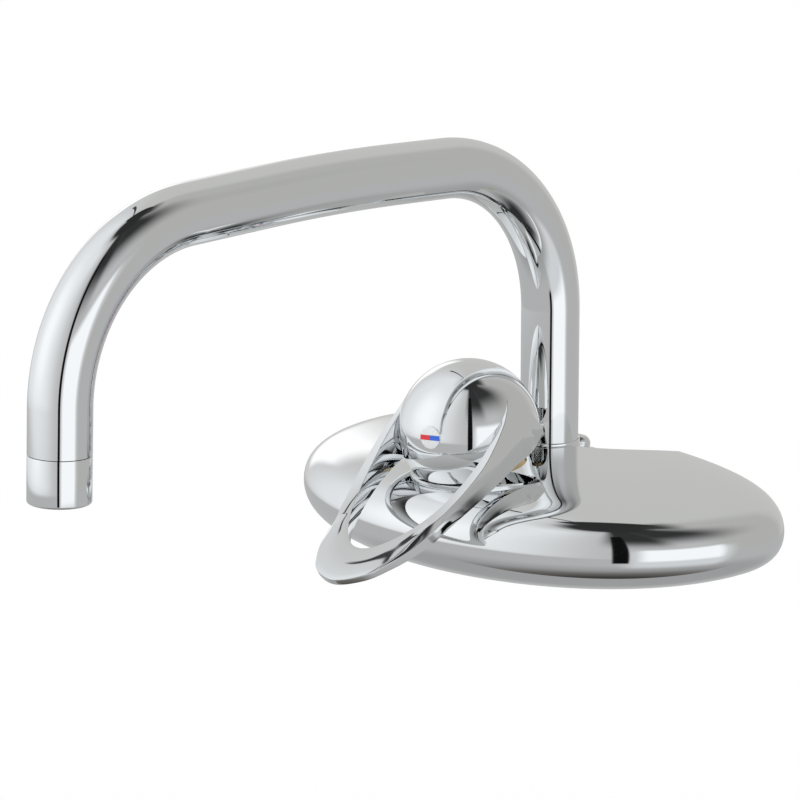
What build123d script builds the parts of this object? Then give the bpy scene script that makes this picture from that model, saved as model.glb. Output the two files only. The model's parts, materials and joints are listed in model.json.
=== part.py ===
from build123d import *
import os
from math import ceil, cos, radians, sin, sqrt, tan

# A wall-mounted single-lever kitchen mixer tap. Millimetres.
# The origin is on the wall plane, midway between the two inlets.
# X runs right along the wall, -Y points out of the wall into the room, Z is up.
# A "depth" is measured out of the wall, or down the cartridge axis from the ball's centre.

# Inlets and wall
INLET_PITCH = 150.0          # centres of the two wall ports
INLET_THREAD_R = 10.48       # G1/2 outside thread
INLET_THREAD_LENGTH = 10.0
UNION_OFFSET = 7.5           # throw of each eccentric union
UNION_HEX_FLATS = 24.0       # spanner flats beside the wall
UNION_HEX_LENGTH = 6.0
UNION_BODY_R = 15.5
UNION_BODY_LENGTH = 6.0
UNION_SPIGOT_R = 13.2        # G3/4 outside thread
UNION_SPIGOT_LENGTH = 12.0
UNION_BORE_R = 7.0
WASHER_THICKNESS = 2.0
WASHER_EASE = 0.2            # washer hole beyond the union's bore
STRAINER_THICKNESS = 0.8
STRAINER_HOLE_R = 0.65
STRAINER_PITCH = 2.1
TAIL_FLANGE_LENGTH = 4.0
TAIL_R = 10.5
ELBOW_DEPTH = 46.0           # from the wall to the bend of each body arm
NUT_FLATS = 30.0
NUT_BACK = 14.0              # from the wall to the nut's near end
NUT_LIP_LENGTH = 3.5

# Cover
COVER_HALF_WIDTH = 120.2
COVER_HALF_HEIGHT = 24.2
COVER_DEPTH = 124.0
COVER_WALL = 1.8
COVER_FULLNESS = 0.74        # 0.55 gives an ellipse, more gives a flatter top and a rounder edge
COVER_TAIL = 58.0            # how far the form would run back from its widest depth
COVER_WIDEST_DEPTH = 29.8
SCOOP_R = 160.0              # hollow along the top rear of the cover
SCOOP_BACK_HEIGHT = 14.2     # lowest line of the hollow, at the wall
SCOOP_SLOPE = 15.1           # degrees that it rises towards the front
COVER_SCREW_DEPTH = 13.3
COVER_SCREW_R = 2.5
COVER_SCREW_LENGTH = 14.0
COVER_SCREW_HEAD_R = 5.0
COVER_SCREW_HEAD_HEIGHT = 5.2
COVER_SCREW_SLOT = 1.2
COVER_SCREW_DOME_R = 5.6
COVER_POST_WALL = 2.5

# Ball handle
BALL_DEPTH = 81.8
BALL_HEIGHT = 37.4           # ball centre above the inlets
AXIS_TILT = 14.0             # the cartridge axis leans out of the wall
REST_TURN = 12.0             # the handle at rest points this far towards +X
REST_LEAN = 7.0              # the shut lever leans forward of the cartridge axis
LIFT = 16.0                  # from shut to fully open
BALL_R = 29.8
BALL_WALL = 3.0
BALL_RIM_DEPTH = 9.2
LOOP_ARM_WALL = 4.6
LOOP_REACH = 112.0           # ball centre to the tip
LOOP_HOLE_REACH = 90.0       # ball centre to the end of the finger hole
LOOP_BACK = 10.0             # the arms start this far behind the ball centre
LOOP_SHOULDER_HEIGHT = 17.0  # upper edge of the arms on the ball
LOOP_DROP = 8.0              # lower edge of the arms below the ball centre
LOOP_TIP_THICKNESS = 3.2
LOOP_TIP_HEIGHT = -0.5
LOOP_MIDDLE_HEIGHT = 1.5
ARM_MIDDLE_TAPER = 2.3       # each arm draws in by this much halfway along
ARM_END_TAPER = 6.0          # and by this much where the paddle starts
HUB_R = 8.5                  # boss round the spindle, inside the ball
HUB_BOTTOM = 5.5
STEM_FLATS = 8.0
STEM_TOP = 17.0
GRUB_R = 2.5
GRUB_LENGTH = 8.0
GRUB_HEIGHT = 11.6           # above the ball centre, along the stem
GRUB_SOCKET_FLATS = 2.5
GRUB_BOSS_R = 4.6
INDICATOR_RISE = 25.2        # degrees above the plane of the loop
INDICATOR_R = 4.8
INDICATOR_PROUD = 0.8
INDICATOR_FLOOR = 0.8        # of the ball's wall, left under the indicator
MARK_WIDTH = 2.1
MARK_SINK = 0.35

# Cartridge
CARTRIDGE_R = 17.5
CARTRIDGE_TOP_DEPTH = 26.0
CARTRIDGE_WALL = 1.7
CARTRIDGE_TOP_WALL = 2.5
NECK_WALL = 2.0
NECK_TOP = 3.2               # above the ball centre
ROTOR_R = 8.9
ROTOR_FLANGE_R = 12.5
ROTOR_FLANGE = 1.5
ROTOR_WALL = 1.5             # beyond the ends of its slot
SPINDLE_HUB_R = 4.6
SPINDLE_ARM_R = 2.4
SPINDLE_ARM_LENGTH = 16.0
SPINDLE_TIP_R = 3.0
PIN_R = 1.5
CARRIER_POST_WALL = 1.1
CARRIER_PLATE = 2.2
MOVING_DISC_R = 12.0
FIXED_DISC_R = 15.4
DISC_THICKNESS = 2.8
MIXING_POCKET_R = 6.0
MIXING_POCKET_BACK = 3.5
MIXING_POCKET_DEPTH = 1.6
DISC_SEAL_HEIGHT = 0.8
BASE_RAISED = 1.2
BASE_THICKNESS = 2.0
INLET_PORT_R = 3.0
INLET_PORT_FORWARD = 4.0
INLET_PORT_SIDE = 6.5
OUTLET_PORT_R = 3.6
OUTLET_PORT_BACK = 6.5
PORT_SEAL_WIDTH = 1.0
PEG_R = 1.4
PEG_LENGTH = 2.4
PEG_SIDE = 14.0
CARTRIDGE_NUT_LEDGE = 1.5    # the nut is this much wider than the cartridge
CARTRIDGE_NUT_WALL = 7.0
CARTRIDGE_NUT_HEIGHT = 5.5
CARTRIDGE_NUT_SLOT = 4.0

# Body
CHAMBER_WALL = 2.5
CHAMBER_FLOOR = 4.0
GALLERY_BLOCK_R = 15.0
GALLERY_DROP = 6.0           # from the chamber floor to the gallery's axis
GALLERY_BORE_R = 4.0
GALLERY_BLOCK_WALL = 2.0
ARM_WALL = 5.0
OUTLET_ARM_WALL = 3.5

# Spout
SPOUT_DEPTH = 32.0
TUBE_R = 12.5
TUBE_WALL = 1.5
TUBE_BOTTOM = 9.0
RISER_TOP = 82.4             # where the first bend starts
BEND_R = 68.0
FIRST_BEND = 87.81
INNER_RUN = 27.82
CROWN_R = 1000.0             # the long run bows slightly
CROWN_ARC = 4.09
OUTER_RUN = 41.8
SECOND_BEND = 85.87
DROP_RUN = 18.2
SOCKET_WALL = 2.0
SOCKET_TOP = 15.5
SOCKET_BOTTOM = -21.0
SOCKET_FLOOR = 4.0
SUMP_R = 8.0
SUMP_GALLERY_HEIGHT = -13.0
SPIGOT_R = 9.5
SPIGOT_BOTTOM = -8.0
SPIGOT_WALL = 2.5
SPIGOT_TIP_ROOM = 1.0        # below the spigot's end
PLUG_LENGTH = 10.0
O_RING_SECTION_R = 0.8
O_RING_LOWER_HEIGHT = -5.4
O_RING_UPPER_HEIGHT = -1.2
STOP_GROOVE_HEIGHT = 4.2
STOP_GROOVE_DEPTH = 1.3
LOCK_SCREW_R = 2.0
GLIDE_RING_THICKNESS = 0.95
COLLAR_WALL = 0.7
COLLAR_TOP = 25.0

# Aerator
AERATOR_LENGTH = 19.0
AERATOR_SPIGOT = 8.0
AERATOR_WALL = 2.5
AERATOR_LIP = 1.0
AERATOR_LIP_LENGTH = 1.4
AERATOR_EDGE = 1.2
SEAM = 0.25
INSERT_LENGTH = 9.0
INSERT_WALL = 1.2
INSERT_CORE_R = 2.6
INSERT_FINS = 12
INSERT_FIN_THICKNESS = 0.7
SCREEN_THICKNESS = 0.6
AERATOR_WASHER_LENGTH = 1.4
AERATOR_WASHER_WIDTH = 1.9

# Clearances
FIT = 0.03                   # radial, threads and sealed or pressed fits
RUN = 0.10                   # radial, turning fits
SLIDE = 0.02                 # between sliding flats
GAP = 0.30                   # round what passes through the cover


def vec(x, y, z):
    return Vector(x, y, z)


def shifted(plane, x, y):
    """The same plane moved within itself."""
    return Plane(origin=plane.from_local_coords(vec(x, y, 0)), x_dir=plane.x_dir, z_dir=plane.z_dir)


def turned(plane, angle):
    """The same plane turned about its own normal, in degrees."""
    x_dir = plane.x_dir * cos(radians(angle)) + plane.y_dir * sin(radians(angle))
    return Plane(origin=plane.origin, x_dir=x_dir, z_dir=plane.z_dir)


def leaned(plane, angle):
    """The same plane with its normal leaned towards its own x direction, in degrees."""
    x_dir = plane.x_dir * cos(radians(angle)) - plane.z_dir * sin(radians(angle))
    z_dir = plane.z_dir * cos(radians(angle)) + plane.x_dir * sin(radians(angle))
    return Plane(origin=plane.origin, x_dir=x_dir, z_dir=z_dir)


def rod(plane, radius, start, end):
    """A cylinder along the plane's normal between two heights."""
    low = min(start, end)
    return Solid.make_cylinder(radius, abs(end - start), plane.offset(low))


def pipe(plane, outer, inner, start, end):
    """A hollow cylinder along the plane's normal."""
    return rod(plane, outer, start, end) - rod(plane, inner, start, end)


def rod_between(first, second, radius):
    run = second - first
    return Solid.make_cylinder(radius, run.length, Plane(origin=first, z_dir=run.normalized()))


def prism(plane, section, start, end):
    """A flat section drawn on the plane, extruded along its normal between two heights."""
    low = min(start, end)
    return plane.offset(low) * extrude(section, abs(end - start))


def one(shape):
    """The single solid of a boolean result."""
    solids = shape.solids()
    assert len(solids) == 1, f"{len(solids)} solids"
    return solids[0]


# Frames
BALL = vec(0, -BALL_DEPTH, BALL_HEIGHT)
AXIS_UP = vec(0, -sin(radians(AXIS_TILT)), cos(radians(AXIS_TILT)))
AXIS_FORWARD = vec(0, -cos(radians(AXIS_TILT)), -sin(radians(AXIS_TILT)))
BORE = Plane(origin=BALL, x_dir=AXIS_FORWARD, z_dir=AXIS_UP)
TURNED = turned(BORE, REST_TURN)
LEVER = leaned(TURNED, REST_LEAN)
RISER = Plane(origin=vec(0, -SPOUT_DEPTH, 0), x_dir=vec(1, 0, 0), z_dir=vec(0, 0, 1))
SPOUT_SIDE = Plane(origin=vec(0, -SPOUT_DEPTH, 0), x_dir=vec(0, -1, 0), z_dir=vec(-1, 0, 0))
SCOOP_OUT = vec(0, -cos(radians(SCOOP_SLOPE)), sin(radians(SCOOP_SLOPE)))
SCOOP_UP = vec(0, sin(radians(SCOOP_SLOPE)), cos(radians(SCOOP_SLOPE)))
SCREW_HEIGHT = SCOOP_BACK_HEIGHT + COVER_SCREW_DEPTH * tan(radians(SCOOP_SLOPE))
SCREW = Plane(origin=vec(0, -COVER_SCREW_DEPTH, SCREW_HEIGHT), x_dir=vec(1, 0, 0), z_dir=SCOOP_UP)

# Depths down the cartridge axis
CAVITY_TOP = CARTRIDGE_TOP_DEPTH + CARTRIDGE_TOP_WALL
ROTOR_FLANGE_TOP = CAVITY_TOP + RUN
ROTOR_BOTTOM = ROTOR_FLANGE_TOP + ROTOR_FLANGE
CARRIER_TOP = ROTOR_BOTTOM + RUN
MOVING_DISC_TOP = CARRIER_TOP + CARRIER_PLATE
FIXED_DISC_TOP = MOVING_DISC_TOP + DISC_THICKNESS + SLIDE
DISC_SEALS_TOP = FIXED_DISC_TOP + DISC_THICKNESS
RAISED_TOP = DISC_SEALS_TOP + DISC_SEAL_HEIGHT
BASE_TOP = RAISED_TOP + BASE_RAISED
CHAMBER_FLOOR_DEPTH = BASE_TOP + BASE_THICKNESS
MOUTH_DEPTH = CARTRIDGE_TOP_DEPTH - CARTRIDGE_NUT_HEIGHT
GALLERY_DEPTH = CHAMBER_FLOOR_DEPTH + GALLERY_DROP
NECK_R = ROTOR_R + RUN + NECK_WALL
CARTRIDGE_NUT_R = CARTRIDGE_R + CARTRIDGE_NUT_LEDGE
CHAMBER_R = CARTRIDGE_NUT_R + CHAMBER_WALL
CARRIER_POST_R = SPINDLE_TIP_R + RUN + CARRIER_POST_WALL
CARRIER_POST_TOP = SPINDLE_ARM_LENGTH - SPINDLE_TIP_R * 2 / 3
DISC_BACK = SPINDLE_ARM_LENGTH * sin(radians(REST_LEAN))
DISC_TRAVEL = DISC_BACK + SPINDLE_ARM_LENGTH * sin(radians(LIFT - REST_LEAN))
CARRIED = shifted(TURNED, -DISC_BACK, 0)
HOT_PORT = (INLET_PORT_FORWARD, -INLET_PORT_SIDE, INLET_PORT_R)
COLD_PORT = (INLET_PORT_FORWARD, INLET_PORT_SIDE, INLET_PORT_R)
OUTLET_PORT = (-OUTLET_PORT_BACK, 0.0, OUTLET_PORT_R)
PORTS = (HOT_PORT, COLD_PORT, OUTLET_PORT)

# Places along the inlets, measured out of the wall
SPIGOT_START = UNION_HEX_LENGTH + UNION_BODY_LENGTH
UNION_FACE = SPIGOT_START + UNION_SPIGOT_LENGTH
FLANGE_FACE = UNION_FACE + WASHER_THICKNESS
FLANGE_FRONT = FLANGE_FACE + TAIL_FLANGE_LENGTH
NUT_FRONT = FLANGE_FRONT + FIT + NUT_LIP_LENGTH
PORT_X = INLET_PITCH / 2
TAIL_X = PORT_X - UNION_OFFSET
TAIL_FLANGE_R = UNION_SPIGOT_R - GAP
WASHER_HOLE_R = UNION_BORE_R + WASHER_EASE

# Spout foot
SOCKET_SEAT_R = TUBE_R + RUN
SOCKET_R = SOCKET_SEAT_R + SOCKET_WALL
COLLAR_R = SOCKET_SEAT_R + COLLAR_WALL
TUBE_BORE_R = TUBE_R - TUBE_WALL
SPIGOT_BORE_R = SPIGOT_R - SPIGOT_WALL
SOCKET_SHELF = TUBE_BOTTOM - GLIDE_RING_THICKNESS - RUN / 2
STOP_GROOVE_R = SPIGOT_R - STOP_GROOVE_DEPTH
STOP_GROOVE_HALF = LOCK_SCREW_R + RUN * 2


def wall_plane(x, depth):
    """Square to the wall at inlet height, normal pointing out of the wall."""
    return Plane(origin=vec(x, -depth, 0), x_dir=vec(1, 0, 0), z_dir=vec(0, -1, 0))


def below_port(port, depth):
    """A point under a port of the cartridge, at a depth down its axis."""
    return BORE.from_local_coords(vec(port[0], port[1], -depth))


# Cover

def cover_form(inset):
    """The cover's outer form as a solid, drawn in by the inset.

    It is a flattened round, stretched along the wall and out from it, and it runs on behind
    the wall, where wall_cover cuts it flat.
    """
    height = COVER_HALF_HEIGHT - inset
    radius = COVER_HALF_WIDTH - inset
    nose = COVER_DEPTH - COVER_WIDEST_DEPTH - inset
    tail = COVER_TAIL - inset
    curves = [Line((0, -height), (0, height))]
    for way in (-1, 1):
        curves.append(Bezier(
            (radius, 0),
            (radius, way * height * COVER_FULLNESS),
            (radius * COVER_FULLNESS, way * height),
            (0, way * height),
        ))
    round_form = revolve(Plane.XZ * make_face(curves), Axis.Z, 360)
    reach = radius * 3
    front_half = round_form - Pos(0, reach / 2, 0) * Box(reach, reach, reach)
    rear_half = round_form - Pos(0, -reach / 2, 0) * Box(reach, reach, reach)
    front_half = scale(front_half, by=(1, nose / radius, 1))
    rear_half = scale(rear_half, by=(1, tail / radius, 1))
    return one(Pos(0, -COVER_WIDEST_DEPTH, 0) * (front_half + rear_half))


def scoop_cutter(drop):
    """Everything above the hollow along the cover's top rear, lowered by the drop."""
    axis_point = vec(0, 0, SCOOP_BACK_HEIGHT) + SCOOP_UP * (SCOOP_R - drop)
    start = axis_point - SCOOP_OUT * COVER_HALF_HEIGHT * 2
    length = COVER_HALF_HEIGHT * 2 + COVER_DEPTH
    return Solid.make_cylinder(SCOOP_R, length, Plane(origin=start, z_dir=SCOOP_OUT))


def wall_cover():
    shell = (cover_form(0) - scoop_cutter(0)) - (cover_form(COVER_WALL) - scoop_cutter(COVER_WALL))
    behind = Rectangle(COVER_HALF_WIDTH * 3, COVER_HALF_HEIGHT * 3)
    shell = shell - prism(wall_plane(0, 0), behind, -COVER_TAIL, 0)
    shell = shell - rod(RISER, COLLAR_R + GAP, 0, COVER_HALF_HEIGHT * 2)
    shell = shell - rod(BORE, CHAMBER_R + GAP, 0, -MOUTH_DEPTH - COVER_WALL)
    shell = shell - rod(SCREW, COVER_SCREW_R + GAP, -COVER_WALL * 3, COVER_WALL * 3)
    return one(shell)


def cover_screw():
    seat = COVER_SCREW_HEAD_R * COVER_SCREW_HEAD_R / (2 * SCOOP_R) + SLIDE
    dome_centre = SCREW.offset(COVER_SCREW_HEAD_HEIGHT - COVER_SCREW_DOME_R)
    head = rod(SCREW, COVER_SCREW_HEAD_R, seat, COVER_SCREW_HEAD_HEIGHT)
    head = head & Solid.make_sphere(COVER_SCREW_DOME_R, dome_centre, -90, 90, 360)
    shank = rod(SCREW, COVER_SCREW_R, -COVER_SCREW_LENGTH, COVER_SCREW_HEAD_HEIGHT / 2)
    slot = Rectangle(COVER_SCREW_SLOT, COVER_SCREW_HEAD_R * 3)
    cut = prism(SCREW, slot, COVER_SCREW_HEAD_HEIGHT * 0.7, COVER_SCREW_HEAD_HEIGHT * 2)
    return one(head + shank - cut)


# Body

def body_arm(side, port):
    """One supply arm, from the gallery under its port to the flanged tail at the union."""
    start = below_port(port, GALLERY_DEPTH)
    elbow = vec(side * TAIL_X, -ELBOW_DEPTH, 0)
    tail = wall_plane(side * TAIL_X, 0)
    arm = rod_between(start, elbow, GALLERY_BORE_R + ARM_WALL)
    arm = arm + Solid.make_sphere(TAIL_R, Plane(elbow), -90, 90, 360)
    arm = arm + rod(tail, TAIL_R, FLANGE_FACE, ELBOW_DEPTH)
    return arm + rod(tail, TAIL_FLANGE_R, FLANGE_FACE, FLANGE_FRONT)


def body_arm_bore(side, port):
    start = below_port(port, GALLERY_DEPTH)
    elbow = vec(side * TAIL_X, -ELBOW_DEPTH, 0)
    tail = wall_plane(side * TAIL_X, 0)
    bore = rod_between(start, elbow, GALLERY_BORE_R)
    bore = bore + rod(tail, UNION_BORE_R, FLANGE_FACE, ELBOW_DEPTH)
    bore = bore + Solid.make_sphere(UNION_BORE_R, Plane(elbow), -90, 90, 360)
    return bore


def mixer_body():
    block_bottom = GALLERY_DEPTH + GALLERY_BORE_R + GALLERY_BLOCK_WALL
    sump_point = vec(0, -SPOUT_DEPTH, SUMP_GALLERY_HEIGHT)
    outlet_start = below_port(OUTLET_PORT, GALLERY_DEPTH)
    body = rod(BORE, CHAMBER_R, -MOUTH_DEPTH, -CHAMBER_FLOOR_DEPTH - CHAMBER_FLOOR)
    body = body + rod(BORE, GALLERY_BLOCK_R, -CHAMBER_FLOOR_DEPTH, -block_bottom)
    body = body + rod(RISER, SOCKET_R, SOCKET_BOTTOM, SOCKET_TOP)
    body = body + rod_between(outlet_start, sump_point, GALLERY_BORE_R + OUTLET_ARM_WALL)
    body = body + body_arm(-1, HOT_PORT) + body_arm(1, COLD_PORT)
    post_r = COVER_SCREW_R + COVER_POST_WALL
    post = rod(SCREW, post_r, -COVER_WALL - FIT, -COVER_SCREW_LENGTH - COVER_POST_WALL * 2)
    post = post - rod(RISER, COLLAR_R + GAP, SOCKET_TOP, COVER_HALF_HEIGHT)
    body = body + post

    body = body - rod(BORE, CARTRIDGE_NUT_R + FIT, -MOUTH_DEPTH, -CARTRIDGE_TOP_DEPTH)
    body = body - rod(BORE, CARTRIDGE_R + RUN, -CARTRIDGE_TOP_DEPTH, -CHAMBER_FLOOR_DEPTH)
    for port in PORTS:
        body = body - rod(shifted(BORE, port[0], port[1]), port[2], -CHAMBER_FLOOR_DEPTH, -GALLERY_DEPTH)
    for side in (-1, 1):
        peg_hole = shifted(BORE, 0, side * PEG_SIDE)
        hole_bottom = CHAMBER_FLOOR_DEPTH + PEG_LENGTH + RUN
        body = body - rod(peg_hole, PEG_R + RUN, -CHAMBER_FLOOR_DEPTH, -hole_bottom)
    body = body - body_arm_bore(-1, HOT_PORT) - body_arm_bore(1, COLD_PORT)
    body = body - rod_between(outlet_start, sump_point, GALLERY_BORE_R)

    body = body - rod(RISER, SOCKET_SEAT_R, SOCKET_SHELF, SOCKET_TOP)
    body = body - rod(RISER, SPIGOT_R + FIT, SPIGOT_BOTTOM - SPIGOT_TIP_ROOM, SOCKET_SHELF)
    body = body - rod(RISER, SUMP_R, SOCKET_BOTTOM + SOCKET_FLOOR, SPIGOT_BOTTOM - SPIGOT_TIP_ROOM)
    body = body - rod(lock_screw_plane(), LOCK_SCREW_R + FIT, 0, SOCKET_R)
    body = body - rod(SCREW, COVER_SCREW_R + FIT, 0, -COVER_SCREW_LENGTH - RUN)
    return one(body)


def union_hex(plane, flats, start, end):
    return prism(plane, RegularPolygon(flats / 2, 6, major_radius=False), start, end)


def eccentric_union(side):
    """The offset fitting between a wall port and the body; the body side is nearer the middle."""
    port = wall_plane(side * PORT_X, 0)
    tail = wall_plane(side * TAIL_X, 0)
    union = rod(port, INLET_THREAD_R, -INLET_THREAD_LENGTH, 0)
    union = union + union_hex(port, UNION_HEX_FLATS, 0, UNION_HEX_LENGTH)
    union = union + rod(tail, UNION_BODY_R, UNION_HEX_LENGTH, SPIGOT_START)
    union = union + rod(tail, UNION_SPIGOT_R, SPIGOT_START, UNION_FACE)
    middle = (UNION_HEX_LENGTH + SPIGOT_START) / 2
    union = union - rod(port, UNION_BORE_R, -INLET_THREAD_LENGTH, middle)
    union = union - rod(tail, UNION_BORE_R, UNION_HEX_LENGTH, UNION_FACE)
    return one(union)


def inlet_washer(side):
    tail = wall_plane(side * TAIL_X, 0)
    return one(pipe(tail, TAIL_FLANGE_R, WASHER_HOLE_R, UNION_FACE, FLANGE_FACE))


def inlet_strainer(side):
    """A perforated disc held in the washer's hole."""
    tail = wall_plane(side * TAIL_X, 0)
    radius = WASHER_HOLE_R - FIT
    start = UNION_FACE + (WASHER_THICKNESS - STRAINER_THICKNESS) / 2
    disc = rod(tail, radius, start, start + STRAINER_THICKNESS)
    rows = ceil(radius / STRAINER_PITCH)
    for row in range(-rows, rows + 1):
        for column in range(-rows * 2, rows * 2 + 1):
            x = (column + (row % 2) / 2) * STRAINER_PITCH
            y = row * STRAINER_PITCH * sin(radians(60))
            if sqrt(x * x + y * y) < radius - STRAINER_PITCH / 2:
                disc = disc - rod(shifted(tail, x, y), STRAINER_HOLE_R, start, start + STRAINER_THICKNESS)
    return one(disc)


def union_nut(side):
    tail = wall_plane(side * TAIL_X, 0)
    nut = union_hex(tail, NUT_FLATS, NUT_BACK, NUT_FRONT)
    nut = nut - rod(tail, UNION_SPIGOT_R + FIT, NUT_BACK, NUT_FRONT - NUT_LIP_LENGTH)
    return one(nut - rod(tail, TAIL_R + RUN, NUT_BACK, NUT_FRONT))


# Cartridge

def cartridge_nut():
    hole_r = CARTRIDGE_NUT_R - CARTRIDGE_NUT_WALL
    nut = pipe(BORE, CARTRIDGE_NUT_R, hole_r, -MOUTH_DEPTH, -CARTRIDGE_TOP_DEPTH)
    slot = Rectangle(CARTRIDGE_NUT_R * 3, CARTRIDGE_NUT_SLOT) + Rectangle(CARTRIDGE_NUT_SLOT, CARTRIDGE_NUT_R * 3)
    return one(nut - prism(BORE, slot, -MOUTH_DEPTH, -MOUTH_DEPTH - CARTRIDGE_NUT_HEIGHT / 2))


def cartridge_housing():
    housing = rod(BORE, CARTRIDGE_R, -CARTRIDGE_TOP_DEPTH, -BASE_TOP)
    housing = housing + rod(BORE, NECK_R, NECK_TOP, -CAVITY_TOP)
    housing = housing - rod(BORE, CARTRIDGE_R - CARTRIDGE_WALL, -CAVITY_TOP, -BASE_TOP)
    return one(housing - rod(BORE, ROTOR_R + RUN, NECK_TOP, -CAVITY_TOP))


def cartridge_base():
    base = rod(BORE, CARTRIDGE_R, -BASE_TOP, -CHAMBER_FLOOR_DEPTH)
    base = base + rod(BORE, CARTRIDGE_R - CARTRIDGE_WALL - RUN, -RAISED_TOP, -BASE_TOP)
    for side in (-1, 1):
        peg = shifted(BORE, 0, side * PEG_SIDE)
        base = base + rod(peg, PEG_R, -BASE_TOP, -CHAMBER_FLOOR_DEPTH - PEG_LENGTH)
    for port in PORTS:
        plane = shifted(BORE, port[0], port[1])
        groove_top = -CHAMBER_FLOOR_DEPTH + DISC_SEAL_HEIGHT
        base = base - rod(plane, port[2], -RAISED_TOP, -CHAMBER_FLOOR_DEPTH)
        base = base - rod(plane, port[2] + PORT_SEAL_WIDTH + RUN, groove_top, -CHAMBER_FLOOR_DEPTH)
    return one(base)


def port_seals(top_depth):
    """Three flat rings round the ports, from a depth down."""
    rings = []
    for port in PORTS:
        plane = shifted(BORE, port[0], port[1])
        ring = pipe(plane, port[2] + PORT_SEAL_WIDTH, port[2] + RUN, -top_depth, -top_depth - DISC_SEAL_HEIGHT)
        rings.append(one(ring))
    return Compound(rings)


def fixed_disc():
    disc = rod(BORE, FIXED_DISC_R, -FIXED_DISC_TOP, -DISC_SEALS_TOP)
    for port in PORTS:
        disc = disc - rod(shifted(BORE, port[0], port[1]), port[2], -FIXED_DISC_TOP, -DISC_SEALS_TOP)
    return one(disc)


def moving_disc():
    bottom = -MOVING_DISC_TOP - DISC_THICKNESS
    pocket = shifted(CARRIED, -MIXING_POCKET_BACK, 0)
    disc = rod(CARRIED, MOVING_DISC_R, -MOVING_DISC_TOP, bottom)
    return one(disc - rod(pocket, MIXING_POCKET_R, bottom, bottom + MIXING_POCKET_DEPTH))


def disc_carrier():
    socket_bottom = SPINDLE_ARM_LENGTH + SPINDLE_TIP_R + RUN
    carrier = rod(CARRIED, MOVING_DISC_R, -CARRIER_TOP, -MOVING_DISC_TOP)
    carrier = carrier + rod(CARRIED, CARRIER_POST_R, -CARRIER_POST_TOP, -CARRIER_TOP)
    return one(carrier - rod(CARRIED, SPINDLE_TIP_R + RUN, -CARRIER_POST_TOP, -socket_bottom))


def cartridge_rotor():
    """The turning sleeve, with a slot along the lever for the spindle and the carrier's post."""
    slot_length = (ROTOR_R - ROTOR_WALL) * 2
    slot_width = (CARRIER_POST_R + RUN) * 2
    slot = SlotOverall(slot_length, slot_width)
    pocket_half = SPINDLE_HUB_R + ROTOR_WALL
    pocket = Rectangle(pocket_half * 2, slot_width)
    rotor = rod(TURNED, ROTOR_R, NECK_TOP, -ROTOR_BOTTOM)
    rotor = rotor + rod(TURNED, ROTOR_FLANGE_R, -ROTOR_FLANGE_TOP, -ROTOR_BOTTOM)
    rotor = rotor - prism(TURNED, slot, NECK_TOP, -ROTOR_BOTTOM)
    rotor = rotor - prism(TURNED, pocket, NECK_TOP, -pocket_half)
    return one(rotor - rod(pivot_plane(), PIN_R + FIT, -ROTOR_R, ROTOR_R))


def pivot_plane():
    """Along the lever's hinge pin, through the ball centre."""
    return Plane(origin=BALL, x_dir=TURNED.x_dir, z_dir=TURNED.y_dir)


def spindle_pin():
    half = ROTOR_R - FIT * 2
    return rod(pivot_plane(), PIN_R, -half, half)


def lever_spindle():
    half_width = CARRIER_POST_R
    lever_side = Plane(origin=BALL, x_dir=LEVER.x_dir, z_dir=LEVER.y_dir)
    spindle = rod(lever_side, SPINDLE_HUB_R, -half_width, half_width)
    spindle = spindle + prism(LEVER, Rectangle(STEM_FLATS, STEM_FLATS), 0, STEM_TOP)
    spindle = spindle + rod(LEVER, SPINDLE_ARM_R, 0, -SPINDLE_ARM_LENGTH)
    spindle = spindle + Solid.make_sphere(SPINDLE_TIP_R, LEVER.offset(-SPINDLE_ARM_LENGTH), -90, 90, 360)
    return one(spindle - rod(pivot_plane(), PIN_R + FIT * 2, -half_width * 2, half_width * 2))


# Handle

def loop_outline():
    """Outer edge of the two arms and the paddle, seen down the lever's axis."""
    hole = LOOP_HOLE_REACH
    side = Spline(
        (BALL_R * 0.8, BALL_R),
        (hole * 0.54, BALL_R - ARM_MIDDLE_TAPER),
        (hole * 0.83, BALL_R - ARM_END_TAPER),
        (LOOP_REACH * 0.93, BALL_R * 0.43),
        (LOOP_REACH, 0),
        tangents=[(1, 0), (0, -1)],
    )
    start = Line((-LOOP_BACK, BALL_R), (BALL_R * 0.8, BALL_R))
    back = Line((-LOOP_BACK, 0), (-LOOP_BACK, BALL_R))
    middle = Line((LOOP_REACH, 0), (-LOOP_BACK, 0))
    half = make_face([back, start, side, middle])
    return half + mirror(half, Plane.XZ)


def finger_hole():
    """The opening between the arms, seen down the lever's axis, running back into the ball."""
    inner = BALL_R - LOOP_ARM_WALL
    hole = LOOP_HOLE_REACH
    side = Spline(
        (BALL_R * 0.8, inner),
        (hole * 0.54, inner - ARM_MIDDLE_TAPER),
        (hole * 0.84, inner * 0.57),
        (hole, 0),
        tangents=[(1, 0), (0, -1)],
    )
    start = Line((-LOOP_BACK, inner), (BALL_R * 0.8, inner))
    back = Line((-LOOP_BACK, 0), (-LOOP_BACK, inner))
    middle = Line((hole, 0), (-LOOP_BACK, 0))
    half = make_face([back, start, side, middle])
    return half + mirror(half, Plane.XZ)


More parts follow.
